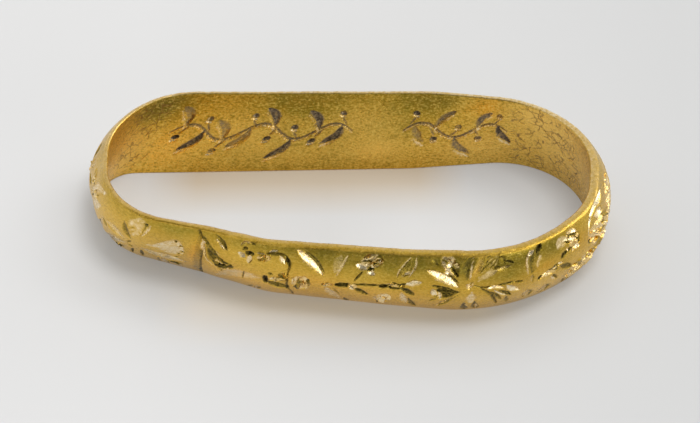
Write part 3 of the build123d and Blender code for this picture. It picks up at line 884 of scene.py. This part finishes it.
def spray(chart, draws, start, end, turns, leaves):
    """One leaf spray: a wavy stem with a leaf and a berry at each of its leaf places."""
    way = math.copysign(1, end - start)

    def stem_point(share):
        return lerp(start, end, share), SPRAY_UP + SPRAY_WAVE * math.sin(share * turns * 2 * math.pi)

    def stroke(spine, width, depth, fullness, tone, keel=0):
        # Painted highlight on the lower edge, then the stroke over it
        low = [(along, up - width * GLINT_SHIFT) for along, up in spine]
        cut(chart, low, width * GLINT_WIDTH, depth * GLINT_DEPTH, fullness, GLINT_TONE)
        cut(chart, spine, width, depth, fullness, tone, keel, SPRAY_BELLY)

    stroke([stem_point(step / STEM_STEPS) for step in range(STEM_STEPS + 1)], *STEM_STROKE)
    for number in range(leaves):
        along, up = stem_point((number + 0.5) / leaves)
        side = 1 if number % 2 else -1
        bend = (along + way * LEAF_BEND[0], up + side * LEAF_BEND[1])
        tip = (along + way * LEAF_TIP[0], up + side * LEAF_TIP[1])
        stroke([(along, up), bend, tip], *LEAF_STROKE, draws.uniform(*LEAF_TONE), LEAF_KEEL * side)
        berry = along + way * BERRY[0]
        hang = up - side * BERRY[1]
        stroke([(along - way * 0.2, up), (berry, hang + side * 0.16)], *STALK_STROKE)
        round_spine = [(berry - BERRY_HALF, hang), (berry + BERRY_HALF, hang - side * 0.1)]
        stroke(round_spine, *BERRY_STROKE, draws.uniform(*BERRY_TONE), BERRY_KEEL)


def crackle(chart, draws, along_low, along_high, count):
    """Cracks as fine broken cuts without a burr."""
    for _ in range(count):
        along = draws.uniform(along_low, along_high)
        up = draws.uniform(*CRACK_UP)
        way = math.radians(draws.choice(CRACK_WAYS) + draws.normal(0, CRACK_STRAY))
        spine = [(along, up)]
        for _ in range(CRACK_PARTS):
            way += draws.normal(0, CRACK_BEND)
            step = draws.uniform(*CRACK_PART)
            along += math.cos(way) * step
            up += math.sin(way) * step
            spine.append((along, up))
        cut(chart, spine, draws.uniform(*CRACK_WIDTH), draws.uniform(*CRACK_DEPTH),
            CRACK_FULLNESS, draws.uniform(*CRACK_TONE), lip=False)


def crack_zone(chart, along, half_length, strength):
    """Where the finest cracks of the finish show."""
    fall = np.exp(-(chart.offset(along) / half_length) ** 4)
    chart.cracks[:] = np.maximum(chart.cracks, strength * fall[:, None])


def engrave_inner(chart, draws):
    """Sprays, cracks and unevenness of the inner face."""
    for values in INNER_CLOUDS:
        cloud(chart, *values)
    for values in INNER_WANDER:
        wander(chart, draws, *values)
    for values in SPRAYS:
        spray(chart, draws, *values)
    for values in CRACKLE:
        crackle(chart, draws, *values)
    for values in CRACK_ZONES:
        crack_zone(chart, *values)


# Mesh

def need_map(height, tone):
    """How much fine detail lies at each lattice point."""
    need = np.zeros(height.shape)
    for values, weight in ((height, 1), (tone, TONE_WEIGHT)):
        for axis in (0, 1):
            bend = np.abs(np.roll(values, -1, axis) + np.roll(values, 1, axis) - 2 * values)
            need = np.maximum(need, bend * weight)
    return need


def block_most(values, size):
    """Largest value in each square block of the lattice, its far edges included."""
    wide = np.maximum(values, np.roll(values, -1, axis=0))
    wide = np.maximum(wide, np.roll(wide, -1, axis=1))
    columns, rows = wide.shape
    return wide.reshape(columns // size, size, rows // size, size).max(axis=(1, 3))


def doubled(cells):
    """The same cells with each one as four of half its size."""
    return np.repeat(np.repeat(cells, 2, axis=0), 2, axis=1)


def rim_cells():
    """Rows of coarse cells on and just below each rim."""
    face = FACE_ROWS // CELL
    band = RIM_ROWS // CELL
    rim = np.zeros(2 * (face + band), bool)
    rim[face - 2:face + band] = True
    rim[2 * face + band:] = True
    return rim


def split_cells(need, limit):
    """Coarse cells to split in four, and half cells to split again."""
    coarse = (block_most(need, CELL) > limit) | rim_cells()[None, :]
    half = block_most(need, CELL // 2) > limit * HALF_CELL_LIMIT
    return coarse, half & doubled(coarse)


def leaf_squares(coarse, half):
    """Corner and size of every square of the mesh."""
    whole_cells = np.argwhere(~coarse) * CELL
    half_cells = np.argwhere(doubled(coarse) & ~half) * (CELL // 2)
    return [(whole_cells, CELL), (half_cells, CELL // 2), (np.argwhere(doubled(half)), 1)]


def mark_corners(squares, shape):
    """Lattice points that some square has as a corner."""
    used = np.zeros(shape, bool)
    for corners, size in squares:
        for right, above in ((0, 0), (size, 0), (size, size), (0, size)):
            used[(corners[:, 0] + right) % shape[0], (corners[:, 1] + above) % shape[1]] = True
    return used


def square_border(column, row, size, used):
    """Used lattice points round one square, in order."""
    columns, rows = used.shape
    walk = [(column + step, row) for step in range(size)]
    walk += [(column + size, row + step) for step in range(size)]
    walk += [(column + size - step, row + size) for step in range(size)]
    walk += [(column, row + size - step) for step in range(size)]
    wrapped = [(c % columns, r % rows) for c, r in walk]
    return [point for point in wrapped if used[point]]


def mesh_faces(squares, used):
    """Faces as lists of lattice points, and the middles that fans need."""
    faces = []
    middles = set()
    columns, rows = used.shape
    for corners, size in squares:
        for column, row in corners.tolist():
            border = square_border(column, row, size, used)
            if len(border) == 4:
                faces.append(border)
                continue
            middle = ((column + size // 2) % columns, (row + size // 2) % rows)
            middles.add(middle)
            for first, second in zip(border, border[1:] + border[:1]):
                faces.append([first, second, middle])
    return faces, middles


def count_triangles(faces):
    return sum(len(face) - 2 for face in faces)


def fitted_faces(need):
    """Faces with as much detail as the triangle limit allows."""
    limit = FIRST_LIMIT
    while True:
        squares = leaf_squares(*split_cells(need, limit))
        rough = sum(len(corners) for corners, _ in squares) * 2
        if rough < MOST_TRIANGLES * ROUGH_SHARE:
            used = mark_corners(squares, need.shape)
            faces, middles = mesh_faces(squares, used)
            if count_triangles(faces) < MOST_TRIANGLES:
                break
        limit *= LIMIT_STEP
    for middle in middles:
        used[middle] = True
    return faces, used


def clamp_to_box(points):
    """Keep the mesh inside the CAD model's box."""
    low = np.array(CAD_BOX[0]) / MM
    high = np.array(CAD_BOX[1]) / MM
    return np.clip(points, low, high)


def band_mesh():
    """The dressed band as one closed mesh with its finish as attributes."""
    draws = np.random.default_rng(SEED)
    edges, edge_shares, whole = column_places()
    points, heights = band_lattice(edges, edge_shares, section_rows())
    normals = lattice_normals(points)
    along = np.arange(COLUMNS) * whole / COLUMNS
    outer = Chart(along, heights[OUTER_ROWS], whole)
    inner = Chart(along, heights[INNER_ROWS], whole)
    engrave_outer(outer, draws)
    engrave_inner(inner, draws)

    # How far each wall faces the back, for the rim's painted highlight
    facing_back = (1 + normals[:, FACE_ROWS // 2, 1:2]) / 2
    height, swells, finish = join_charts(outer, inner, facing_back)
    faces, used = fitted_faces(need_map(height, finish["tone"]))
    moved = points + normals * (height + swells)[..., None]
    worn = np.clip(moved[..., 2] / BAND_WIDTH * WEAR_ZONE - (WEAR_ZONE - 1), 0, 1)
    moved[..., 2] -= rim_wear(draws, along, whole)[:, None] * worn
    return make_mesh(clamp_to_box(moved), faces, used, finish)


def join_charts(outer, inner, facing_back):
    """Cut heights, swells and finish of both faces and the rims, over the whole lattice."""
    shape = (COLUMNS, 2 * (FACE_ROWS + RIM_ROWS))
    height = np.zeros(shape)
    swells = np.zeros(shape)
    finish = {name: np.zeros(shape) for name in FINISH + ("inside",)}
    # Painted highlight over the upper rim
    finish["tone"][:, UPPER_RIM] = lerp(FRONT_RIM_HIGHLIGHT, BACK_RIM_HIGHLIGHT, facing_back)
    for chart, span, inside in ((outer, OUTER_ROWS, 0), (inner, INNER_ROWS, 1)):
        fade = edge_fade(chart.up)
        height[:, span] = chart.height * np.clip(fade * CUT_FADE, 0, 1)
        swells[:, span] = chart.swell * fade
        for name in FINISH:
            finish[name][:, span] = getattr(chart, name)
        finish["inside"][:, span] = inside
    return height, swells, finish


def edge_fade(up):
    """Share of the swells that is left at each height, none at the rims."""
    gap = np.clip(np.minimum(up, BAND_WIDTH - up) / SWELL_FADE, 0, 1)
    return gap * gap * (3 - 2 * gap)


def rim_wear(draws, along, whole):
    """How far the upper rim is worn down at each column."""
    wear = np.zeros(len(along))
    for wave in RIM_WAVES:
        strength = draws.normal(0, 1) / wave ** 0.5
        wear += strength * np.sin(2 * np.pi * (wave * along / whole + draws.random()))
    return RIM_WEAR * (wear - wear.min()) / (wear.max() - wear.min())


def make_mesh(points, faces, used, finish):
    """Blender mesh of the used lattice points."""
    index = np.full(used.shape, -1)
    index[used] = np.arange(used.sum())
    mesh = bpy.data.meshes.new("gold_band")
    numbered = [[int(index[point]) for point in face] for face in faces]
    mesh.from_pydata((points[used] * MM).tolist(), [], numbered)
    for name, values in finish.items():
        layer = mesh.attributes.new(name, "FLOAT", "POINT")
        layer.data.foreach_set("value", values[used].astype(np.float32))
    mesh.validate()
    mesh.shade_smooth()
    mesh.set_sharp_from_angle(angle=math.radians(SHARP_EDGE))
    mesh.update()
    return mesh


# Materials

def add_node(tree, kind, inputs, **settings):
    """A shader node with its settings and inputs; an input is a value or an output."""
    node = tree.nodes.new(kind)
    for name, value in settings.items():
        setattr(node, name, value)
    for name, value in inputs.items():
        if isinstance(value, bpy.types.NodeSocket):
            tree.links.new(value, node.inputs[name])
        else:
            node.inputs[name].default_value = value
    return node


def noise(tree, place, scale, detail, rough=0.5, stretch=(1, 1, 1)):
    """Output of a noise texture in object space."""
    mapping = add_node(tree, "ShaderNodeMapping", {"Vector": place, "Scale": stretch})
    inputs = {"Vector": mapping.outputs["Vector"], "Scale": scale, "Detail": detail, "Roughness": rough}
    return add_node(tree, "ShaderNodeTexNoise", inputs).outputs["Fac"]


def remap(tree, value, from_low, from_high, to_low=0, to_high=1):
    """Output of a clamped map of one range on another."""
    inputs = {"Value": value, "From Min": from_low, "From Max": from_high}
    inputs.update({"To Min": to_low, "To Max": to_high})
    return add_node(tree, "ShaderNodeMapRange", inputs).outputs["Result"]


def times(tree, first, second):
    """Product of two outputs."""
    return add_node(tree, "ShaderNodeMath", {0: first, 1: second}, operation="MULTIPLY").outputs["Value"]


def mix(tree, share, first, second):
    """Mix of two colours by an output; each is an output or a plain colour."""
    inputs = {"Factor": share, "A": first, "B": second}
    return add_node(tree, "ShaderNodeMix", inputs, data_type="RGBA").outputs["Result"]


def attribute(tree, name):
    """Output of a mesh attribute."""
    return add_node(tree, "ShaderNodeAttribute", {}, attribute_name=name).outputs["Fac"]


GOLD = (0.75, 0.475, 0.07, 1)
GOLD_DEEP = (0.64, 0.385, 0.044, 1)
# Painted light and painted shade of the clouds
PAINTED_LIGHT_GOLD = (1, 0.65, 0.145, 1)
PAINTED_SHADE_GOLD = (0.16, 0.115, 0.012, 1)
ORANGE = (0.88, 0.42, 0.034, 1)
# Olive tint, and painted shade below the upper rim
OLIVE_AND_PAINTED_SHADE = (0.37, 0.27, 0.03, 1)
# Painted highlights of pale cuts, facets and rims
PAINTED_HIGHLIGHT_GOLD = (0.94, 0.7, 0.34, 1)
PAINTED_WHITE_HIGHLIGHT = (1, 0.86, 0.56, 1)
# Dark cuts: painted shade, with dirt at the darkest
SHADE = (0.15, 0.115, 0.022, 1)
DIRT_AND_PAINTED_SHADE = (0.03, 0.018, 0.004, 1)
RESIDUE = (0.24, 0.19, 0.13, 1)
CRACK_BROWN = (0.24, 0.125, 0.035, 1)
GRIT_DARK = (0.23, 0.17, 0.014, 1)
GRIT_LIGHT = (1, 0.77, 0.2, 1)

# Noises of the gold: scale, detail, roughness, stretch
MOTTLE = (420, 4)
PATCHES = (1300, 4, 0.65)
GRIT = (11000, 2, 0.6, (0.7, 0.7, 1))
TONE_PATCHES = (6500, 3, 0.7)
WORN_SHINE = (9000, 4)
HAMMERING = (1500, 3)
SCRATCHES = (9000, 3, 0.6, (0.25, 0.25, 1))
GRAIN = (15000, 3, 0.6)
CRACK_GAPS = (1500, 2)
# The net of fine cracks: its scale, and the scale and size of its bends in metres
NET_SCALE = 2300
BEND_SCALE = 2500
BEND_SIZE = 0.00035
LINE_WIDTH = 0.09
# Heights of the bumps in metres
HAMMER_RISE = 0.00006
GRAIN_RISE = 0.00002
CRACK_DROP = 0.00003
FRESH_ROUGHNESS = 0.2


def crack_lines(tree, place):
    """Share of crack at each place: a broken net of thin lines."""
    bend = add_node(tree, "ShaderNodeTexNoise", {"Vector": place, "Scale": BEND_SCALE, "Detail": 2})
    shift = {"Vector": bend.outputs["Color"], "Scale": BEND_SIZE}
    shifted = add_node(tree, "ShaderNodeVectorMath", shift, operation="SCALE").outputs["Vector"]
    bent = add_node(tree, "ShaderNodeVectorMath", {0: place, 1: shifted}, operation="ADD")
    net_place = {"Vector": bent.outputs["Vector"], "Scale": NET_SCALE}
    net = add_node(tree, "ShaderNodeTexVoronoi", net_place, feature="DISTANCE_TO_EDGE")
    line = remap(tree, net.outputs["Distance"], 0, LINE_WIDTH, 1, 0)
    broken = remap(tree, noise(tree, place, *CRACK_GAPS), 0.46, 0.56)
    return times(tree, times(tree, line, broken), attribute(tree, "cracks"))


def gold_colour(tree, place, tone, dark, cracks):
    """Gold from deep to light, with layers of clouds of tint and painted light and shade, grit, painted
    highlights of pale cuts, dirt and painted shade of dark cuts, and cracks.
    """
    warmth = attribute(tree, "warmth")
    light = attribute(tree, "light")
    inside = attribute(tree, "inside")
    patchy = remap(tree, noise(tree, place, *PATCHES), 0.3, 0.7, 0.35, 1.25)
    grit = noise(tree, place, *GRIT)
    rough = times(tree, remap(tree, inside, 0, 1, 0.45, 1), remap(tree, light, 0.3, 1, 1, 0.25))
    shade = mix(tree, inside, SHADE, RESIDUE)
    shade = mix(tree, remap(tree, attribute(tree, "cracks"), 0, 0.6), shade, CRACK_BROWN)
    # value, where the layer starts and is full, its most, what thins it, colour
    layers = [
        # olive tint and painted shade
        (warmth, 0, -1, 1, patchy, OLIVE_AND_PAINTED_SHADE),
        (warmth, 0, 1, 1, patchy, ORANGE),
        # painted light and painted shade of the clouds
        (light, 0, 1, 1, None, PAINTED_LIGHT_GOLD),
        (light, 0, -1, 1, None, PAINTED_SHADE_GOLD),
        (grit, 0.5, 0.3, 0.7, rough, GRIT_DARK),
        (grit, 0.5, 0.7, 0.5, rough, GRIT_LIGHT),
        # painted highlights
        (tone, 0.1, 0.8, 1, None, PAINTED_HIGHLIGHT_GOLD),
        (tone, 0.6, 1.1, 1, None, PAINTED_WHITE_HIGHLIGHT),
        # painted shade of dark cuts, and dirt
        (dark, 0, 0.6, 1, None, shade),
        (dark, 0.5, 1, 1, None, DIRT_AND_PAINTED_SHADE),
        (cracks, 0, 1, 1, None, CRACK_BROWN),
    ]
    colour = mix(tree, remap(tree, noise(tree, place, *MOTTLE), 0.36, 0.66), GOLD_DEEP, GOLD)
    for value, start, full, most, thinned, layer in layers:
        share = remap(tree, value, start, full, 0, most)
        colour = mix(tree, times(tree, share, thinned) if thinned else share, colour, layer)
    return colour


def gold_roughness(tree, place):
    """Rougher where the grain is high, smoother in fresh cuts."""
    worn = remap(tree, noise(tree, place, *WORN_SHINE), 0.3, 0.7, 0.24, 0.42)
    fresh = remap(tree, attribute(tree, "polish"), 0, 1, 0, 0.8)
    inputs = {"Factor": fresh, "A": worn, "B": FRESH_ROUGHNESS}
    return add_node(tree, "ShaderNodeMix", inputs).outputs["Result"]


def add_bump(tree, height, distance, strength, **normal):
    """Output of a bump, over an earlier one if that is given as Normal."""
    inputs = {"Height": height, "Distance": distance, "Strength": strength, **normal}
    return add_node(tree, "ShaderNodeBump", inputs).outputs["Normal"]


def gold_normal(tree, place, cracks):
    """Hammered unevenness, scratches, grain and cracks."""
    strength = remap(tree, attribute(tree, "inside"), 0, 1, 0.7, 1)
    normal = add_bump(tree, noise(tree, place, *HAMMERING), HAMMER_RISE, 0.3)
    normal = add_bump(tree, noise(tree, place, *SCRATCHES), GRAIN_RISE, strength, Normal=normal)
    normal = add_bump(tree, noise(tree, place, *GRAIN), GRAIN_RISE, strength, Normal=normal)
    return add_bump(tree, remap(tree, cracks, 0, 1, 1, 0), CRACK_DROP, 0.6, Normal=normal)


def new_material(name):
    """A material with its node tree and shader."""
    material = bpy.data.materials.new(name)
    material.use_nodes = True
    return material, material.node_tree, material.node_tree.nodes["Principled BSDF"]


def object_place(tree):
    """Output of the place in object space."""
    return tree.nodes.new("ShaderNodeTexCoord").outputs["Object"]


def gold_material():
    """Worn yellow gold: soft polish, painted highlights in fresh cuts, dirt and painted shade in dark ones.
    """
    material, tree, shader = new_material("worn_gold")
    place = object_place(tree)
    # Patches of the tone's painted highlight and painted shade
    worn = remap(tree, noise(tree, place, *TONE_PATCHES), 0.36, 0.62, 0.5, 1.1)
    tone = times(tree, attribute(tree, "tone"), worn)
    dark = remap(tree, tone, 0, -1)
    residue = times(tree, dark, attribute(tree, "inside"))
    cracks = crack_lines(tree, place)
    tree.links.new(gold_colour(tree, place, tone, dark, cracks), shader.inputs["Base Color"])
    tree.links.new(remap(tree, residue, 0.2, 1, 1, 0.55), shader.inputs["Metallic"])
    tree.links.new(gold_roughness(tree, place), shader.inputs["Roughness"])
    tree.links.new(gold_normal(tree, place, cracks), shader.inputs["Normal"])
    return material


FLOOR_SIDE = 1.6
# Floor colours, lighter to the left and with painted shade to the right
FLOOR_LEFT = (0.375, 0.375, 0.375, 1)
FLOOR_RIGHT = (0.308, 0.31, 0.31, 1)
# Painted warm shadow in front of the back wall
FLOOR_PAINTED_SHADOW = (0.34, 0.3, 0.245, 1)
# Painted light: the floor glows, which lifts the ring's shadows
FLOOR_GLOW = (1, 0.99, 0.97, 1)
GLOW_STRENGTH = 0.2
# Soft boxes on the floor, in metres, for a painted warm shadow in front of the back wall, painted warm light
# in front of the front wall and painted light in the hole: low corner, high corner, softness, glow
PAINTED_SHADOW_BEHIND = ((-0.0085, 0.003), (0.0045, 0.007), 0.0012, (0.8, 0.62, 0.42, 1))
PAINTED_LIGHT_BEFORE = ((-0.008, -0.006), (0.007, -0.0032), 0.0012, (1.36, 1.17, 0.9, 1))
PAINTED_LIGHT_WITHIN = ((0.001, -0.003), (0.009, 0.003), 0.002, (1.32, 1.31, 1.29, 1))


def soft_box(tree, axes, low, high, soft):
    """Share of a soft-edged box on the floor."""
    edges = []
    for axis, start, end in zip("XY", low, high):
        rise = remap(tree, axes.outputs[axis], start - soft, start + soft)
        fall = remap(tree, axes.outputs[axis], end - soft, end + soft, 1, 0)
        edges.append(times(tree, rise, fall))
    return times(tree, *edges)


def floor_material():
    """Matt paper with a faint painted glow, painted shade to the right, a painted warm shadow in front of
    the back wall, and painted warm light of the gold on it.
    """
    material, tree, shader = new_material("pale_floor")
    shader.inputs["Roughness"].default_value = 0.9
    shader.inputs["Specular IOR Level"].default_value = 0.2
    shader.inputs["Emission Strength"].default_value = GLOW_STRENGTH
    axes = add_node(tree, "ShaderNodeSeparateXYZ", {"Vector": object_place(tree)})
    colour = mix(tree, remap(tree, axes.outputs["X"], -0.01, 0.016), FLOOR_LEFT, FLOOR_RIGHT)
    colour = mix(tree, soft_box(tree, axes, *PAINTED_SHADOW_BEHIND[:3]), colour, FLOOR_PAINTED_SHADOW)
    # Painted light and painted shadow in the floor's glow
    glow = FLOOR_GLOW
    for *box, box_glow in (PAINTED_SHADOW_BEHIND, PAINTED_LIGHT_BEFORE, PAINTED_LIGHT_WITHIN):
        glow = mix(tree, soft_box(tree, axes, *box), glow, box_glow)
    tree.links.new(colour, shader.inputs["Base Color"])
    tree.links.new(glow, shader.inputs["Emission Color"])
    return material


# Scene

AIM = Vector((0.00005, 0.00214, 0.0))
CAMERA_DISTANCE = 0.25
CAMERA_ELEVATION = 43
CAMERA_LENS = 270


def add_object(name, data):
    """A new object of the scene."""
    thing = bpy.data.objects.new(name, data)
    bpy.context.collection.objects.link(thing)
    return thing


def make_camera():
    """Camera at the photograph's angle, level with the ring's long way."""
    data = bpy.data.cameras.new("camera")
    data.lens = CAMERA_LENS
    data.sensor_width = 36
    data.clip_start = 0.01
    data.clip_end = 10
    camera = add_object("camera", data)
    slope = math.radians(CAMERA_ELEVATION)
    camera.location = AIM + CAMERA_DISTANCE * Vector((0, -math.cos(slope), math.sin(slope)))
    camera.rotation_euler = (math.pi / 2 - slope, 0, 0)
    bpy.context.scene.camera = camera


# light, azimuth, elevation, distance, size, power, and whether the gold mirrors it;
# azimuth 0 is the front, 90 the right
LIGHTS = [
    ("overhead", 42, 73, 0.65, 0.22, 2.3, False),
    ("back_top", 180, 70, 0.65, 0.5, 1.6, False),
    ("right", 100, 52, 0.65, 0.28, 1, True),
    ("left", 270, 50, 0.6, 0.4, 0.42, True),
    ("front_right_panel", 40, 12, 0.6, 0.34, 1.1, True),
    ("back_right_panel", 108, 12, 0.6, 0.34, 0.9, True),
]


def make_lights():
    """Square area lights that face the ring."""
    for name, azimuth, elevation, distance, size, power, mirrored in LIGHTS:
        data = bpy.data.lights.new(name, "AREA")
        data.shape = "SQUARE"
        data.size = size
        data.energy = power
        light = add_object(name, data)
        light.visible_glossy = mirrored
        turn = math.radians(azimuth)
        rise = math.radians(elevation)
        way = Vector((math.sin(turn) * math.cos(rise), -math.cos(turn) * math.cos(rise), math.sin(rise)))
        light.location = AIM + way * distance
        light.rotation_euler = (-way).to_track_quat("-Z", "Y").to_euler()


# Share of the way from the front to the back, and the world's strength there
WORLD_STRENGTH = [(0.05, 0.22), (0.2, 0.27), (0.34, 0.3), (0.5, 0.46), (0.86, 0.62), (0.98, 0.9)]


def make_world():
    """Grey light, bright behind the ring and dim low down in front."""
    world = bpy.data.worlds.new("studio")
    bpy.context.scene.world = world
    bpy.context.scene.view_settings.view_transform = "Standard"
    world.use_nodes = True
    tree = world.node_tree
    way = tree.nodes.new("ShaderNodeTexCoord").outputs["Generated"]
    axes = add_node(tree, "ShaderNodeSeparateXYZ", {"Vector": way})
    ramp = add_node(tree, "ShaderNodeValToRGB", {"Fac": remap(tree, axes.outputs["Y"], -1, 1)})
    while len(ramp.color_ramp.elements) < len(WORLD_STRENGTH):
        ramp.color_ramp.elements.new(0.5)
    for element, (place, strength) in zip(ramp.color_ramp.elements, WORLD_STRENGTH):
        element.position = place
        element.color = (strength, strength, strength, 1)
    tree.links.new(ramp.outputs["Color"], tree.nodes["Background"].inputs["Color"])


def make_floor():
    """Wide flat floor that the ring lies on."""
    mesh = bpy.data.meshes.new("floor")
    corners = [(x * FLOOR_SIDE, y * FLOOR_SIDE, 0) for x, y in ((-1, -1), (1, -1), (1, 1), (-1, 1))]
    mesh.from_pydata(corners, [], [(0, 1, 2, 3)])
    mesh.materials.append(floor_material())
    add_object("floor", mesh)


make_camera()
make_world()
make_lights()
make_floor()

band = add_object("gold_band", band_mesh())
band.data.materials.append(gold_material())
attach(band, "root")
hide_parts("ring_band")
